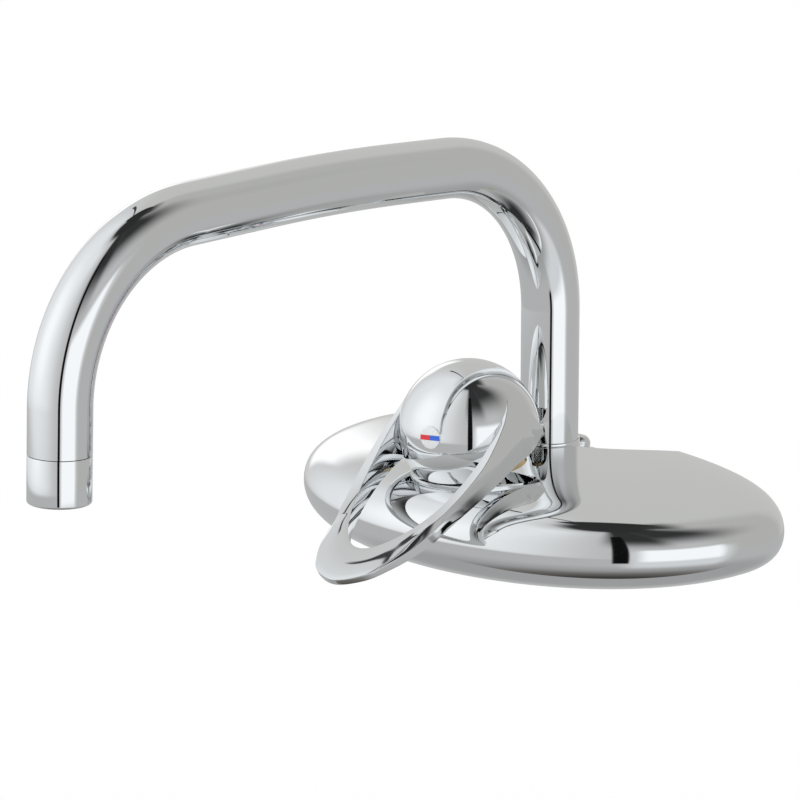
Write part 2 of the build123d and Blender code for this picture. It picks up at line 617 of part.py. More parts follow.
def loop_side():
    """Side view of the arms and paddle: along the lever, and up its axis."""
    shoulder = LOOP_SHOULDER_HEIGHT
    upper = Spline(
        (0, shoulder),
        (BALL_R * 0.8, shoulder / 2),
        (LOOP_HOLE_REACH * 0.63, LOOP_MIDDLE_HEIGHT),
        (LOOP_REACH, LOOP_TIP_HEIGHT),
        tangents=[(1, -0.35), (1, 0)],
    )
    tip_bottom = LOOP_TIP_HEIGHT - LOOP_TIP_THICKNESS
    tip = Line((LOOP_REACH, LOOP_TIP_HEIGHT), (LOOP_REACH, tip_bottom))
    lower = Spline(
        (LOOP_REACH, tip_bottom),
        (LOOP_HOLE_REACH * 0.7, -LOOP_DROP + 1),
        (0, -LOOP_DROP),
        tangents=[(-1, -0.12), (-1, 0)],
    )
    heel = Spline((0, -LOOP_DROP), (-LOOP_BACK, -LOOP_DROP * 0.35), (0, shoulder), tangents=[(-1, 0), (0.8, 1)])
    return make_face([upper, tip, lower, heel])


def handle():
    """The hollow ball and its loop lever, cast in one, with the boss for the spindle."""
    lever_side = Plane(origin=BALL, x_dir=LEVER.x_dir, z_dir=-LEVER.y_dir)
    along = Plane(origin=BALL, x_dir=LEVER.y_dir, z_dir=LEVER.x_dir)
    band = prism(LEVER, loop_outline(), -LOOP_DROP * 2, BALL_R)
    band = band - prism(LEVER, finger_hole(), -LOOP_DROP * 2, BALL_R)
    band = band & prism(lever_side, loop_side(), -BALL_R * 2, BALL_R * 2)
    band = band & rod(along, BALL_R, -BALL_R, LOOP_REACH * 2)
    ball = Solid.make_sphere(BALL_R, LEVER, -90, 90, 360)
    hollow = Solid.make_sphere(BALL_R - BALL_WALL, LEVER, -90, 90, 360)
    below_rim = rod(LEVER, BALL_R * 2, -BALL_RIM_DEPTH, -BALL_R * 2)
    shell = ball + band
    shell = shell - hollow
    shell = shell - below_rim
    hub = rod(LEVER, HUB_R, HUB_BOTTOM, BALL_R)
    pad = rod(grub_plane(), GRUB_BOSS_R, STEM_FLATS / 2, BALL_R)
    inner = (hub + pad) & Solid.make_sphere(BALL_R - BALL_WALL / 2, LEVER, -90, 90, 360)
    shell = shell + inner
    socket = Rectangle(STEM_FLATS + SLIDE * 4, STEM_FLATS + SLIDE * 4)
    shell = shell - prism(LEVER, socket, HUB_BOTTOM, STEM_TOP + RUN)
    shell = shell - rod(grub_plane(), GRUB_R + FIT, 0, BALL_R)
    shell = shell - rod(indicator_plane(), INDICATOR_R + FIT, indicator_seat(), BALL_R * 2)
    return one(shell)


def grub_plane():
    """Along the grub screw, square to the stem, pointing forward."""
    origin = LEVER.from_local_coords(vec(0, 0, GRUB_HEIGHT))
    return Plane(origin=origin, x_dir=LEVER.y_dir, z_dir=LEVER.x_dir)


def handle_grub_screw():
    start = STEM_FLATS / 2 + SLIDE
    screw = rod(grub_plane(), GRUB_R, start, start + GRUB_LENGTH)
    socket = RegularPolygon(GRUB_SOCKET_FLATS / 2, 6, major_radius=False)
    return one(screw - prism(grub_plane(), socket, start + GRUB_LENGTH * 0.65, start + GRUB_LENGTH))


def indicator_plane():
    """Through the ball centre, pointing out through the indicator."""
    rise = radians(INDICATOR_RISE)
    out = LEVER.x_dir * cos(rise) + LEVER.z_dir * sin(rise)
    return Plane(origin=BALL, x_dir=LEVER.y_dir, z_dir=out)


def indicator_seat():
    """Height up the indicator's axis of the flat seat in the ball's wall."""
    return BALL_R - BALL_WALL + INDICATOR_FLOOR


def indicator_face():
    edge_height = sqrt(BALL_R * BALL_R - INDICATOR_R * INDICATOR_R)
    return edge_height + INDICATOR_PROUD


def indicator_plug():
    plug = rod(indicator_plane(), INDICATOR_R, indicator_seat(), indicator_face())
    length = INDICATOR_R - FIT
    recess = Rectangle(length * 2, MARK_WIDTH)
    return one(plug - prism(indicator_plane(), recess, indicator_face() - MARK_SINK, indicator_face()))


def mark(side):
    """Half of the temperature bar, on one side of the indicator's middle."""
    length = INDICATOR_R - FIT * 6
    bar = Rectangle(length, MARK_WIDTH - FIT * 2).moved(Location((side * (length / 2 + FIT), 0, 0)))
    bar = bar & Circle(INDICATOR_R - FIT)
    return one(prism(indicator_plane(), bar, indicator_face() - MARK_SINK, indicator_face()))


# Spout

def spout_path():
    """Centre line of the tube, from its foot to the seam above the aerator."""
    riser = Line((0, TUBE_BOTTOM), (0, RISER_TOP))
    first = JernArc(start=riser @ 1, tangent=riser % 1, radius=BEND_R, arc_size=-FIRST_BEND)
    inner = Line(first @ 1, (first @ 1) + (first % 1) * INNER_RUN)
    crown = JernArc(start=inner @ 1, tangent=inner % 1, radius=CROWN_R, arc_size=-CROWN_ARC)
    outer = Line(crown @ 1, (crown @ 1) + (crown % 1) * OUTER_RUN)
    second = JernArc(start=outer @ 1, tangent=outer % 1, radius=BEND_R, arc_size=-SECOND_BEND)
    drop = Line(second @ 1, (second @ 1) + (second % 1) * DROP_RUN)
    return SPOUT_SIDE * Wire([riser, first, inner, crown, outer, second, drop])


PATH = spout_path()
OUTLET = Plane(origin=PATH @ 1, x_dir=vec(1, 0, 0), z_dir=PATH % 1)


def spout_tube():
    section = RISER.offset(TUBE_BOTTOM) * (Circle(TUBE_R) - Circle(TUBE_BORE_R))
    return one(sweep(section, path=PATH))


def o_ring_heights():
    return (O_RING_LOWER_HEIGHT, O_RING_UPPER_HEIGHT)


def spout_ferrule():
    """The machined foot brazed into the tube, with its seal grooves and stop groove."""
    ferrule = rod(RISER, SPIGOT_R, SPIGOT_BOTTOM, TUBE_BOTTOM + PLUG_LENGTH)
    ferrule = ferrule + rod(RISER, TUBE_BORE_R - FIT, TUBE_BOTTOM, TUBE_BOTTOM + PLUG_LENGTH)
    ferrule = ferrule - rod(RISER, SPIGOT_BORE_R, SPIGOT_BOTTOM, TUBE_BOTTOM + PLUG_LENGTH)
    groove_r = SPIGOT_R - O_RING_SECTION_R * 2
    for height in o_ring_heights():
        half = O_RING_SECTION_R + RUN
        ferrule = ferrule - pipe(RISER, SPIGOT_R * 2, groove_r, height - half, height + half)
    low = STOP_GROOVE_HEIGHT - STOP_GROOVE_HALF
    high = STOP_GROOVE_HEIGHT + STOP_GROOVE_HALF
    return one(ferrule - pipe(RISER, SPIGOT_R * 2, STOP_GROOVE_R, low, high))


def spout_o_rings():
    rings = []
    for height in o_ring_heights():
        wire_r = O_RING_SECTION_R - FIT
        rings.append(Solid.make_torus(SPIGOT_R - O_RING_SECTION_R, wire_r, RISER.offset(height)))
    return Compound(rings)


def spout_glide_ring():
    outer = SOCKET_SEAT_R - RUN * 2
    inner = SPIGOT_R + RUN
    return one(pipe(RISER, outer, inner, SOCKET_SHELF, SOCKET_SHELF + GLIDE_RING_THICKNESS))


def spout_collar():
    return one(pipe(RISER, COLLAR_R, SOCKET_SEAT_R, SOCKET_TOP, COLLAR_TOP))


def lock_screw_plane():
    """Along the lock screw, from the riser's axis out to the right."""
    origin = vec(0, -SPOUT_DEPTH, STOP_GROOVE_HEIGHT)
    return Plane(origin=origin, x_dir=vec(0, 0, 1), z_dir=vec(1, 0, 0))


def spout_lock_screw():
    screw = rod(lock_screw_plane(), LOCK_SCREW_R, STOP_GROOVE_R + GAP, SOCKET_R - GAP)
    socket = RegularPolygon(LOCK_SCREW_R / 2, 6, major_radius=False)
    return one(screw - prism(lock_screw_plane(), socket, SOCKET_R - GAP - LOCK_SCREW_R, SOCKET_R - GAP))


# Aerator, measured along the outlet's direction from the seam

def aerator_bore_r():
    return TUBE_R - AERATOR_WALL


def aerator_housing():
    bore = aerator_bore_r()
    housing = rod(OUTLET, TUBE_R, SEAM, AERATOR_LENGTH)
    housing = fillet(outer_end_edge(housing), AERATOR_EDGE)
    housing = housing + rod(OUTLET, TUBE_BORE_R - FIT, -AERATOR_SPIGOT, SEAM * 2)
    housing = housing - rod(OUTLET, bore, -AERATOR_SPIGOT, AERATOR_LENGTH - AERATOR_LIP_LENGTH)
    return one(housing - rod(OUTLET, bore - AERATOR_LIP, 0, AERATOR_LENGTH))


def outer_end_edge(cylinder):
    """The circular edge of a cylinder that lies farthest along the outlet's direction."""
    far = OUTLET.from_local_coords(vec(0, 0, AERATOR_LENGTH))
    circles = cylinder.edges().filter_by(GeomType.CIRCLE)
    return [min(circles, key=lambda edge: (edge.arc_center - far).length)]


def insert_top():
    return AERATOR_LENGTH - AERATOR_LIP_LENGTH - INSERT_LENGTH


def aerator_insert():
    """The flow straightener: a sleeve, a core and radial fins."""
    radius = aerator_bore_r() - FIT
    bottom = insert_top() + INSERT_LENGTH
    insert = pipe(OUTLET, radius, radius - INSERT_WALL, insert_top(), bottom)
    insert = insert + rod(OUTLET, INSERT_CORE_R, insert_top(), bottom)
    fin = Rectangle((radius - INSERT_WALL / 2) * 2, INSERT_FIN_THICKNESS)
    for step in range(INSERT_FINS // 2):
        across = turned(OUTLET, step * 360 / INSERT_FINS)
        insert = insert + prism(across, fin, insert_top() + INSERT_LENGTH / 3, bottom)
    return one(insert)


def aerator_screen():
    """A perforated disc lying on the insert."""
    radius = aerator_bore_r() - FIT
    bottom = insert_top()
    top = bottom - SCREEN_THICKNESS
    disc = rod(OUTLET, radius, top, bottom)
    rings = ((0.0, 1), (radius * 0.27, 6), (radius * 0.54, 12), (radius * 0.8, 18))
    for distance, count in rings:
        for step in range(count):
            angle = radians(step * 360 / count)
            hole = shifted(OUTLET, distance * cos(angle), distance * sin(angle))
            disc = disc - rod(hole, radius * 0.085, top, bottom)
    return one(disc)


def aerator_washer():
    radius = aerator_bore_r() - FIT
    bottom = insert_top() - SCREEN_THICKNESS
    return one(pipe(OUTLET, radius, radius - AERATOR_WASHER_WIDTH, bottom - AERATOR_WASHER_LENGTH, bottom))


NODES = {
    "wall_cover": wall_cover,
    "cover_screw": cover_screw,
    "mixer_body": mixer_body,
    "left_eccentric_union": lambda: eccentric_union(-1),
    "right_eccentric_union": lambda: eccentric_union(1),
    "left_inlet_washer": lambda: inlet_washer(-1),
    "right_inlet_washer": lambda: inlet_washer(1),
    "left_inlet_strainer": lambda: inlet_strainer(-1),
    "right_inlet_strainer": lambda: inlet_strainer(1),
    "left_union_nut": lambda: union_nut(-1),
    "right_union_nut": lambda: union_nut(1),
    "cartridge_nut": cartridge_nut,
    "cartridge_housing": cartridge_housing,
    "cartridge_base": cartridge_base,
    "base_port_seals": lambda: port_seals(CHAMBER_FLOOR_DEPTH - DISC_SEAL_HEIGHT),
    "disc_port_seals": lambda: port_seals(DISC_SEALS_TOP),
    "fixed_disc": fixed_disc,
    "moving_disc": moving_disc,
    "disc_carrier": disc_carrier,
    "cartridge_rotor": cartridge_rotor,
    "spindle_pin": spindle_pin,
    "lever_spindle": lever_spindle,
    "handle": handle,
    "handle_grub_screw": handle_grub_screw,
    "indicator_plug": indicator_plug,
    "red_mark": lambda: mark(-1),
    "blue_mark": lambda: mark(1),
    "spout_tube": spout_tube,
    "spout_ferrule": spout_ferrule,
    "spout_o_rings": spout_o_rings,
    "spout_glide_ring": spout_glide_ring,
    "spout_collar": spout_collar,
    "spout_lock_screw": spout_lock_screw,
    "aerator_housing": aerator_housing,
    "aerator_insert": aerator_insert,
    "aerator_screen": aerator_screen,
    "aerator_washer": aerator_washer,
}

os.makedirs("parts", exist_ok=True)
for name, make in NODES.items():
    export_step(make(), f"parts/{name}.step")

print("ball centre", BALL, "cartridge axis", AXIS_UP)
print("lever hinge axis", TURNED.y_dir, "slide axis", TURNED.x_dir, "slide travel", DISC_TRAVEL)
print("outlet", OUTLET.origin, OUTLET.z_dir, "tip", OUTLET.from_local_coords(vec(0, 0, AERATOR_LENGTH)))
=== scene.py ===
# %% [markdown]
# # A wall-mounted kitchen mixer tap
#
# This lesson dresses the CAD model of a chrome wall tap. The CAD model gives every piece its place,
# so here only the pieces that the eye lands on are modelled again, finer than the CAD's triangles:
# the spout, the ball handle with its loop, the cover, the collar, the aerator and the small trims.
# Polished chrome shows every facet and every dent as a kink in its reflections. That is why these
# pieces are dense, smooth meshes, and why the studio around them gets as much care as they do.
# Everything is in metres, in the CAD's frame: X along the wall, -Y out into the room, Z up.

import json
from math import cos, pi, radians, sin, sqrt

import bmesh
import bpy
from mathutils import Matrix, Vector


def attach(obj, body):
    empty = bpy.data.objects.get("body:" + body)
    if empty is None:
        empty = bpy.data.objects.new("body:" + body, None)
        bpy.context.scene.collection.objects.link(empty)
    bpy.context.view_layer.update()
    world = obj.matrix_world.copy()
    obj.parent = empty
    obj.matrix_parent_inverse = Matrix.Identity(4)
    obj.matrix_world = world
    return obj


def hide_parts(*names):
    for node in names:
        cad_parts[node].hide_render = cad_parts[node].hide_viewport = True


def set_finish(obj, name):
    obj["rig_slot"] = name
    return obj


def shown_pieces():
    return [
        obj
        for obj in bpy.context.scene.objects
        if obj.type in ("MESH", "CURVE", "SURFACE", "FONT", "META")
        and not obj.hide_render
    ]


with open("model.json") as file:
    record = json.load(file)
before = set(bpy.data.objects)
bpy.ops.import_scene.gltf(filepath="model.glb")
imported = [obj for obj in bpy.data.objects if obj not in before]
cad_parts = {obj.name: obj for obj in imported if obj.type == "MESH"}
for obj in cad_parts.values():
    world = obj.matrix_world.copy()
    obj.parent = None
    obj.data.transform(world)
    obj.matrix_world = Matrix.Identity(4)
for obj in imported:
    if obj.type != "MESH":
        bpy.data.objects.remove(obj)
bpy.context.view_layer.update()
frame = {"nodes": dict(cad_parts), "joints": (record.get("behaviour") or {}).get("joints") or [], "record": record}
nodes = frame["nodes"]
joints = {joint["name"]: joint for joint in frame["joints"]}
MM = 0.001

# %% [markdown]
# ## Small tools for modelling by hand
#
# Blender's operators act on whatever is selected, and the CAD nodes arrive selected, so each
# new piece starts by deselecting everything. The other helpers are moves a modeller repeats:
# choosing faces or edges by where they are, applying a modifier, and cutting or joining with
# a boolean. Each one leaves a plain mesh behind, with no live modifiers.

# %% Helpers: start, name and apply
MERGE_DISTANCE = 0.000002
SAME_PLACE = 1e-6


def deselect_all():
    """Nothing selected and no active object, so the next operator acts on its own piece alone."""
    if bpy.context.object and bpy.context.object.mode != "OBJECT":
        bpy.ops.object.mode_set(mode="OBJECT")
    bpy.ops.object.select_all(action="DESELECT")


def make_active(piece):
    deselect_all()
    piece.select_set(True)
    bpy.context.view_layer.objects.active = piece


def named(name):
    """The new primitive, under its own name."""
    piece = bpy.context.object
    piece.name = name
    piece.data.name = name
    return piece


def settle(piece):
    """Put the piece's place into its mesh, with its object at the origin."""
    make_active(piece)
    bpy.ops.object.transform_apply(location=True, rotation=True, scale=True)
    return piece


def place(piece, matrix):
    """Move a piece that was modelled in its own frame to where it belongs."""
    piece.matrix_world = matrix @ piece.matrix_world
    return settle(piece)


def apply_modifier(piece, kind, **settings):
    make_active(piece)
    modifier = piece.modifiers.new(kind, kind)
    for key, value in settings.items():
        setattr(modifier, key, value)
    bpy.ops.object.modifier_apply(modifier=modifier.name)
    return piece


def combine(piece, tool, operation):
    """Cut the tool away from the piece, or join it on, and drop the tool."""
    apply_modifier(piece, "BOOLEAN", object=tool, operation=operation, solver="EXACT")
    bpy.data.objects.remove(tool)
    return piece


def clean(piece):
    """Merge doubled points and turn every face outwards."""
    make_active(piece)
    bpy.ops.object.mode_set(mode="EDIT")
    bpy.ops.mesh.select_all(action="SELECT")
    bpy.ops.mesh.remove_doubles(threshold=MERGE_DISTANCE)
    bpy.ops.mesh.normals_make_consistent(inside=False)
    bpy.ops.object.mode_set(mode="OBJECT")
    return piece


def smooth(piece, angle):
    """Smooth shading, with the edges sharper than the angle kept crisp."""
    make_active(piece)
    bpy.ops.object.shade_smooth_by_angle(angle=radians(angle))
    return piece


def select_in_edit_mode(piece, faces=None, edges=None):
    """In edit mode, select the faces or the edges that pass a test, and nothing else."""
    make_active(piece)
    bpy.ops.object.mode_set(mode="EDIT")
    bpy.ops.mesh.select_mode(type="FACE" if faces else "EDGE")
    bpy.ops.mesh.select_all(action="DESELECT")
    mesh = bmesh.from_edit_mesh(piece.data)
    chosen = [f for f in mesh.faces if faces(f)] if faces else [e for e in mesh.edges if edges(e)]
    for element in chosen:
        element.select_set(True)
    bmesh.update_edit_mesh(piece.data)
    return len(chosen)


def edges_at(height, radius=None):
    """A test for edges that lie at a height, and on a round of a radius where one is given."""
    def test(edge):
        return all(abs(v.co.z - height) < SAME_PLACE and
                   (radius is None or abs(v.co.xy.length - radius) < SAME_PLACE) for v in edge.verts)
    return test


def keep(piece, body, node, slot):
    """Let the finished piece move with its body and stand for its CAD node."""
    deselect_all()
    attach(piece, body)
    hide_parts(node)
    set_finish(piece, slot)
    print(piece.name, len(piece.data.polygons), "faces")
    return piece


# %% [markdown]
# ## The spout tube
#
# The real spout is one length of 25 mm tube, bent twice on a mandrel, with a long run that bows
# very slightly. It could be a bevelled curve, but a curve's bends are only as round as its
# handles. Spinning a ring of points round each bend's true centre gives exact arcs, as the
# bending machine does: straight stretches are extruded, and bends are spun.

# %% Sizes of the spout
TUBE_R = 12.5 * MM
TUBE_WALL = 1.5 * MM
SPOUT_DEPTH = 32.0 * MM
TUBE_FOOT = 9.0 * MM
RISER_TOP = 82.4 * MM
BEND_R = 68.0 * MM
FIRST_BEND = radians(87.81)
INNER_RUN = 27.82 * MM
CROWN_R = 1.0
CROWN_ARC = radians(4.09)
OUTER_RUN = 41.8 * MM
SECOND_BEND = radians(85.87)
DROP_RUN = 18.2 * MM
X_AXIS = Vector((1, 0, 0))
Z_AXIS = Vector((0, 0, 1))
TURNED_SIDES = 96
BEND_STEPS = 60
CROWN_STEPS = 12
TUBE_CREASE = 40


def straight(point, direction, length):
    """Extrude the selected ring along a straight stretch, and return the new end point."""
    bpy.ops.mesh.extrude_region_move(TRANSFORM_OT_translate={"value": direction * length})
    return point + direction * length


def bend(point, direction, radius, angle, steps):
    """Spin the selected ring round a bend in the spout's own plane."""
    quarter = Matrix.Rotation(pi / 2, 3, X_AXIS)
    centre = point + quarter @ direction * radius
    bpy.ops.mesh.spin(steps=steps, angle=-angle, center=centre, axis=X_AXIS)
    turn = Matrix.Rotation(angle, 3, X_AXIS)
    return centre + turn @ (point - centre), turn @ direction


def make_spout():
    foot = Vector((0, -SPOUT_DEPTH, TUBE_FOOT))
    deselect_all()
    bpy.ops.mesh.primitive_circle_add(vertices=TURNED_SIDES, radius=TUBE_R, location=foot)
    tube = settle(named("spout"))
    bpy.ops.object.mode_set(mode="EDIT")
    bpy.ops.mesh.select_all(action="SELECT")
    point = straight(foot, Z_AXIS, RISER_TOP - TUBE_FOOT)
    point, direction = bend(point, Z_AXIS, BEND_R, FIRST_BEND, BEND_STEPS)
    point = straight(point, direction, INNER_RUN)
    point, direction = bend(point, direction, CROWN_R, CROWN_ARC, CROWN_STEPS)
    point = straight(point, direction, OUTER_RUN)
    point, direction = bend(point, direction, BEND_R, SECOND_BEND, BEND_STEPS)
    point = straight(point, direction, DROP_RUN)
    bpy.ops.mesh.select_all(action="SELECT")
    bpy.ops.mesh.fill_holes(sides=0)
    bpy.ops.object.mode_set(mode="OBJECT")
    clean(tube)
    select_in_edit_mode(tube, faces=lambda f: len(f.verts) > 4)
    bpy.ops.mesh.delete(type="ONLY_FACE")
    bpy.ops.object.mode_set(mode="OBJECT")
    apply_modifier(tube, "SOLIDIFY", thickness=TUBE_WALL, offset=-1.0, use_even_offset=True)
    smooth(tube, TUBE_CREASE)
    return tube, point, direction


spout, outlet_point, outlet_down = make_spout()
keep(spout, "spout", "spout_tube", "chrome")
print("spout ends at", [round(v, 5) for v in outlet_point])

# %% [markdown]
# ## The aerator's housing
#
# The housing is a turned sleeve that screws into the spout's end, so only its outer band shows,
# under a hairline seam. It starts as a cylinder standing at the spout's end. Its lower face is
# inset to leave the lip, and pushed up inside to make the mouth; its lower rim is rounded
# with a bevel, because a hand and a sponge meet that edge every day.

# %% Make the aerator's housing
AERATOR_LENGTH = 19.0 * MM
SEAM = 0.25 * MM
MOUTH_R = 9.0 * MM
LIP_LENGTH = 1.4 * MM
AERATOR_BORE_R = 10.0 * MM
AERATOR_EDGE = 1.2 * MM
AERATOR_CREASE = 35
outlet = Matrix.Translation(outlet_point) @ outlet_down.to_track_quat("Z", "Y").to_matrix().to_4x4()


def make_aerator():
    length = AERATOR_LENGTH - SEAM
    middle = SEAM + length / 2
    deselect_all()
    bpy.ops.mesh.primitive_cylinder_add(vertices=TURNED_SIDES, radius=TUBE_R, depth=length,
                                        location=(0, 0, middle))
    housing = settle(named("aerator_sleeve"))
    select_in_edit_mode(housing, faces=lambda f: f.normal.z > 0.9)
    bpy.ops.mesh.inset(thickness=TUBE_R - MOUTH_R)
    bpy.ops.mesh.extrude_region_move(TRANSFORM_OT_translate={"value": (0, 0, -LIP_LENGTH)})
    bpy.ops.mesh.extrude_region_move()
    bpy.ops.transform.resize(value=(AERATOR_BORE_R / MOUTH_R, AERATOR_BORE_R / MOUTH_R, 1))
    bore_length = length - LIP_LENGTH - SEAM
    bpy.ops.mesh.extrude_region_move(TRANSFORM_OT_translate={"value": (0, 0, -bore_length)})
    bpy.ops.object.mode_set(mode="OBJECT")
    select_in_edit_mode(housing, edges=edges_at(AERATOR_LENGTH, TUBE_R))
    bpy.ops.mesh.bevel(offset=AERATOR_EDGE, segments=6, affect="EDGES")
    select_in_edit_mode(housing, edges=edges_at(SEAM, TUBE_R))
    bpy.ops.mesh.bevel(offset=SEAM / 2, segments=2, affect="EDGES")
    bpy.ops.object.mode_set(mode="OBJECT")
    place(housing, outlet)
    clean(housing)
    return smooth(housing, AERATOR_CREASE)


keep(make_aerator(), "spout", "aerator_housing", "chrome")

# %% [markdown]
# ## The collar at the spout's foot
#
# A thin sleeve covers the joint where the spout turns in the body. Only its top edge shows,
# as a fine step round the riser. A ring is the quickest start: a circle, extruded up and
# given its wall by Solidify, then a small bevel so that its top edge catches the light.

# %% Make the collar
COLLAR_R = 13.3 * MM
COLLAR_WALL = 0.7 * MM
COLLAR_LOW = 15.5 * MM
COLLAR_HIGH = 25.0 * MM
COLLAR_EDGE = 0.25 * MM
COLLAR_CREASE = 40
COLLAR_CORNER = radians(50)


def make_collar():
    deselect_all()
    foot = (0, -SPOUT_DEPTH, COLLAR_LOW)
    bpy.ops.mesh.primitive_circle_add(vertices=TURNED_SIDES, radius=COLLAR_R, location=foot)
    collar = settle(named("foot_collar"))
    bpy.ops.object.mode_set(mode="EDIT")
    bpy.ops.mesh.select_all(action="SELECT")
    bpy.ops.mesh.extrude_region_move(TRANSFORM_OT_translate={"value": (0, 0, COLLAR_HIGH - COLLAR_LOW)})
    bpy.ops.object.mode_set(mode="OBJECT")
    clean(collar)
    apply_modifier(collar, "SOLIDIFY", thickness=COLLAR_WALL, offset=-1.0, use_even_offset=True)
    apply_modifier(collar, "BEVEL", width=COLLAR_EDGE, segments=3, limit_method="ANGLE",
                   angle_limit=COLLAR_CORNER)
    return smooth(collar, COLLAR_CREASE)


keep(make_collar(), "body", "spout_collar", "chrome")

# %% [markdown]
# ## The wall cover
#
# The cover is a flattened round pressed from brass: an oval from above, with a nearly flat top,
# a rounded edge, and a wide hollow scooped along its top rear for the riser and the screw. A lathe
# shape gives the round: its profile is spun about the upright axis, and the ring is then stretched
# in depth, by one amount in front of its widest line and by another behind it. The
# hollow and the openings are cut with booleans, as the press tools do.

# %% Sizes of the cover
COVER_HALF_WIDTH = 120.2 * MM
COVER_HALF_HEIGHT = 24.2 * MM
COVER_DEPTH = 124.0 * MM
COVER_WIDEST_DEPTH = 29.8 * MM
COVER_TAIL = 58.0 * MM
COVER_FULLNESS = 0.74
COVER_WALL = 1.8 * MM
SCOOP_R = 160.0 * MM
SCOOP_BACK_HEIGHT = 14.2 * MM
SCOOP_SLOPE = radians(15.1)
SCOOP_SIDES = 1024
GAP = 0.3 * MM
COVER_STEPS = 36
COVER_AROUND = 256
LINING_STEPS = 18
LINING_AROUND = 128
COVER_CREASE = 12
BALL_CENTRE = Vector(joints["handle_turn"]["pos_m"])
AXIS_UP = Vector(joints["handle_turn"]["axis"]).normalized()
CHAMBER_R = 21.5 * MM
scoop_out = Vector((0, -cos(SCOOP_SLOPE), sin(SCOOP_SLOPE)))
scoop_up = Vector((0, sin(SCOOP_SLOPE), cos(SCOOP_SLOPE)))


def bezier(points, share):
    """The point at a share of the way along a cubic curve."""
    a, b, c, d = points
    rest = 1 - share
    return tuple(
        rest ** 3 * p + 3 * rest ** 2 * share * q + 3 * rest * share ** 2 * r + share ** 3 * s
        for p, q, r, s in zip(a, b, c, d)
    )


def cover_profile(inset, steps):
    """The round's section from its lowest point, over its rim, to its top."""
    radius = COVER_HALF_WIDTH - inset
    height = COVER_HALF_HEIGHT - inset
    full = COVER_FULLNESS
    low = [(0, -height), (radius * full, -height), (radius, -height * full), (radius, 0)]
    high = [(radius, 0), (radius, height * full), (radius * full, height), (0, height)]
    points = [bezier(low, step / steps) for step in range(steps)]
    return points + [bezier(high, step / steps) for step in range(steps + 1)]


def dome(name, inset, steps, around):
    """The profile spun about the upright axis, then stretched to the cover's plan."""
    mesh = bpy.data.meshes.new(name)
    points = cover_profile(inset, steps)
    mesh.from_pydata([(x, 0, z) for x, z in points], [(i, i + 1) for i in range(len(points) - 1)], [])
    piece = bpy.data.objects.new(name, mesh)
    bpy.context.scene.collection.objects.link(piece)
    make_active(piece)
    bpy.ops.object.mode_set(mode="EDIT")
    bpy.ops.mesh.select_all(action="SELECT")
    bpy.ops.mesh.spin(steps=around, angle=2 * pi, center=(0, 0, 0), axis=(0, 0, 1))
    bpy.ops.object.mode_set(mode="OBJECT")
    clean(piece)
    radius = COVER_HALF_WIDTH - inset
    nose = COVER_DEPTH - COVER_WIDEST_DEPTH - inset
    tail = COVER_TAIL - inset
    for way, reach in ((-1, nose), (1, tail)):
        select_in_edit_mode(piece, faces=lambda f: f.calc_center_median().y * way > 0)
        bpy.ops.transform.resize(value=(1, reach / radius, 1), center_override=(0, 0, 0))
        bpy.ops.object.mode_set(mode="OBJECT")
    piece.location.y = -COVER_WIDEST_DEPTH
    return settle(piece)


def rod(name, matrix, radius, low, high, sides=TURNED_SIDES):
    """A closed cylinder between two heights of a frame, for joining on or cutting away."""
    deselect_all()
    bpy.ops.mesh.primitive_cylinder_add(vertices=sides, radius=radius, depth=high - low,
                                        location=(0, 0, (low + high) / 2))
    piece = settle(named(name))
    return place(piece, matrix)


def block(name, size, centre):
    """A box of a size round a centre, for cutting away."""
    deselect_all()
    bpy.ops.mesh.primitive_cube_add(size=1, location=centre)
    piece = named(name)
    piece.scale = size
    return settle(piece)


def frame_at(point, x_axis, z_axis):
    """A matrix with its origin and two of its directions given."""
    y_axis = z_axis.cross(x_axis)
    turn = Matrix((x_axis, y_axis, z_axis)).transposed()
    return Matrix.Translation(point) @ turn.to_4x4()


def scoop(drop):
    """The long cylinder that leaves the hollow, lowered by a drop for the inner wall."""
    axis_point = Z_AXIS * SCOOP_BACK_HEIGHT + scoop_up * (SCOOP_R - drop)
    return rod("scoop", frame_at(axis_point, X_AXIS, scoop_out), SCOOP_R, -60 * MM, 200 * MM, SCOOP_SIDES)


# %% Cut the cover
def make_cover():
    cover = combine(dome("cover", 0, COVER_STEPS, COVER_AROUND), scoop(0), "DIFFERENCE")
    lining = dome("cover_inside", COVER_WALL, LINING_STEPS, LINING_AROUND)
    combine(lining, scoop(COVER_WALL), "DIFFERENCE")
    combine(cover, lining, "DIFFERENCE")
    behind = block("behind_the_wall", (1, COVER_TAIL, 1), (0, COVER_TAIL / 2, 0))
    combine(cover, behind, "DIFFERENCE")
    riser = frame_at(Vector((0, -SPOUT_DEPTH, 0)), X_AXIS, Z_AXIS)
    combine(cover, rod("riser_hole", riser, COLLAR_R + GAP, 0, 60 * MM), "DIFFERENCE")
    chamber = frame_at(BALL_CENTRE, X_AXIS, AXIS_UP)
    combine(cover, rod("chamber_hole", chamber, CHAMBER_R + GAP, -50 * MM, -MM), "DIFFERENCE")
    clean(cover)
    return smooth(cover, COVER_CREASE)


keep(make_cover(), "body", "wall_cover", "chrome")
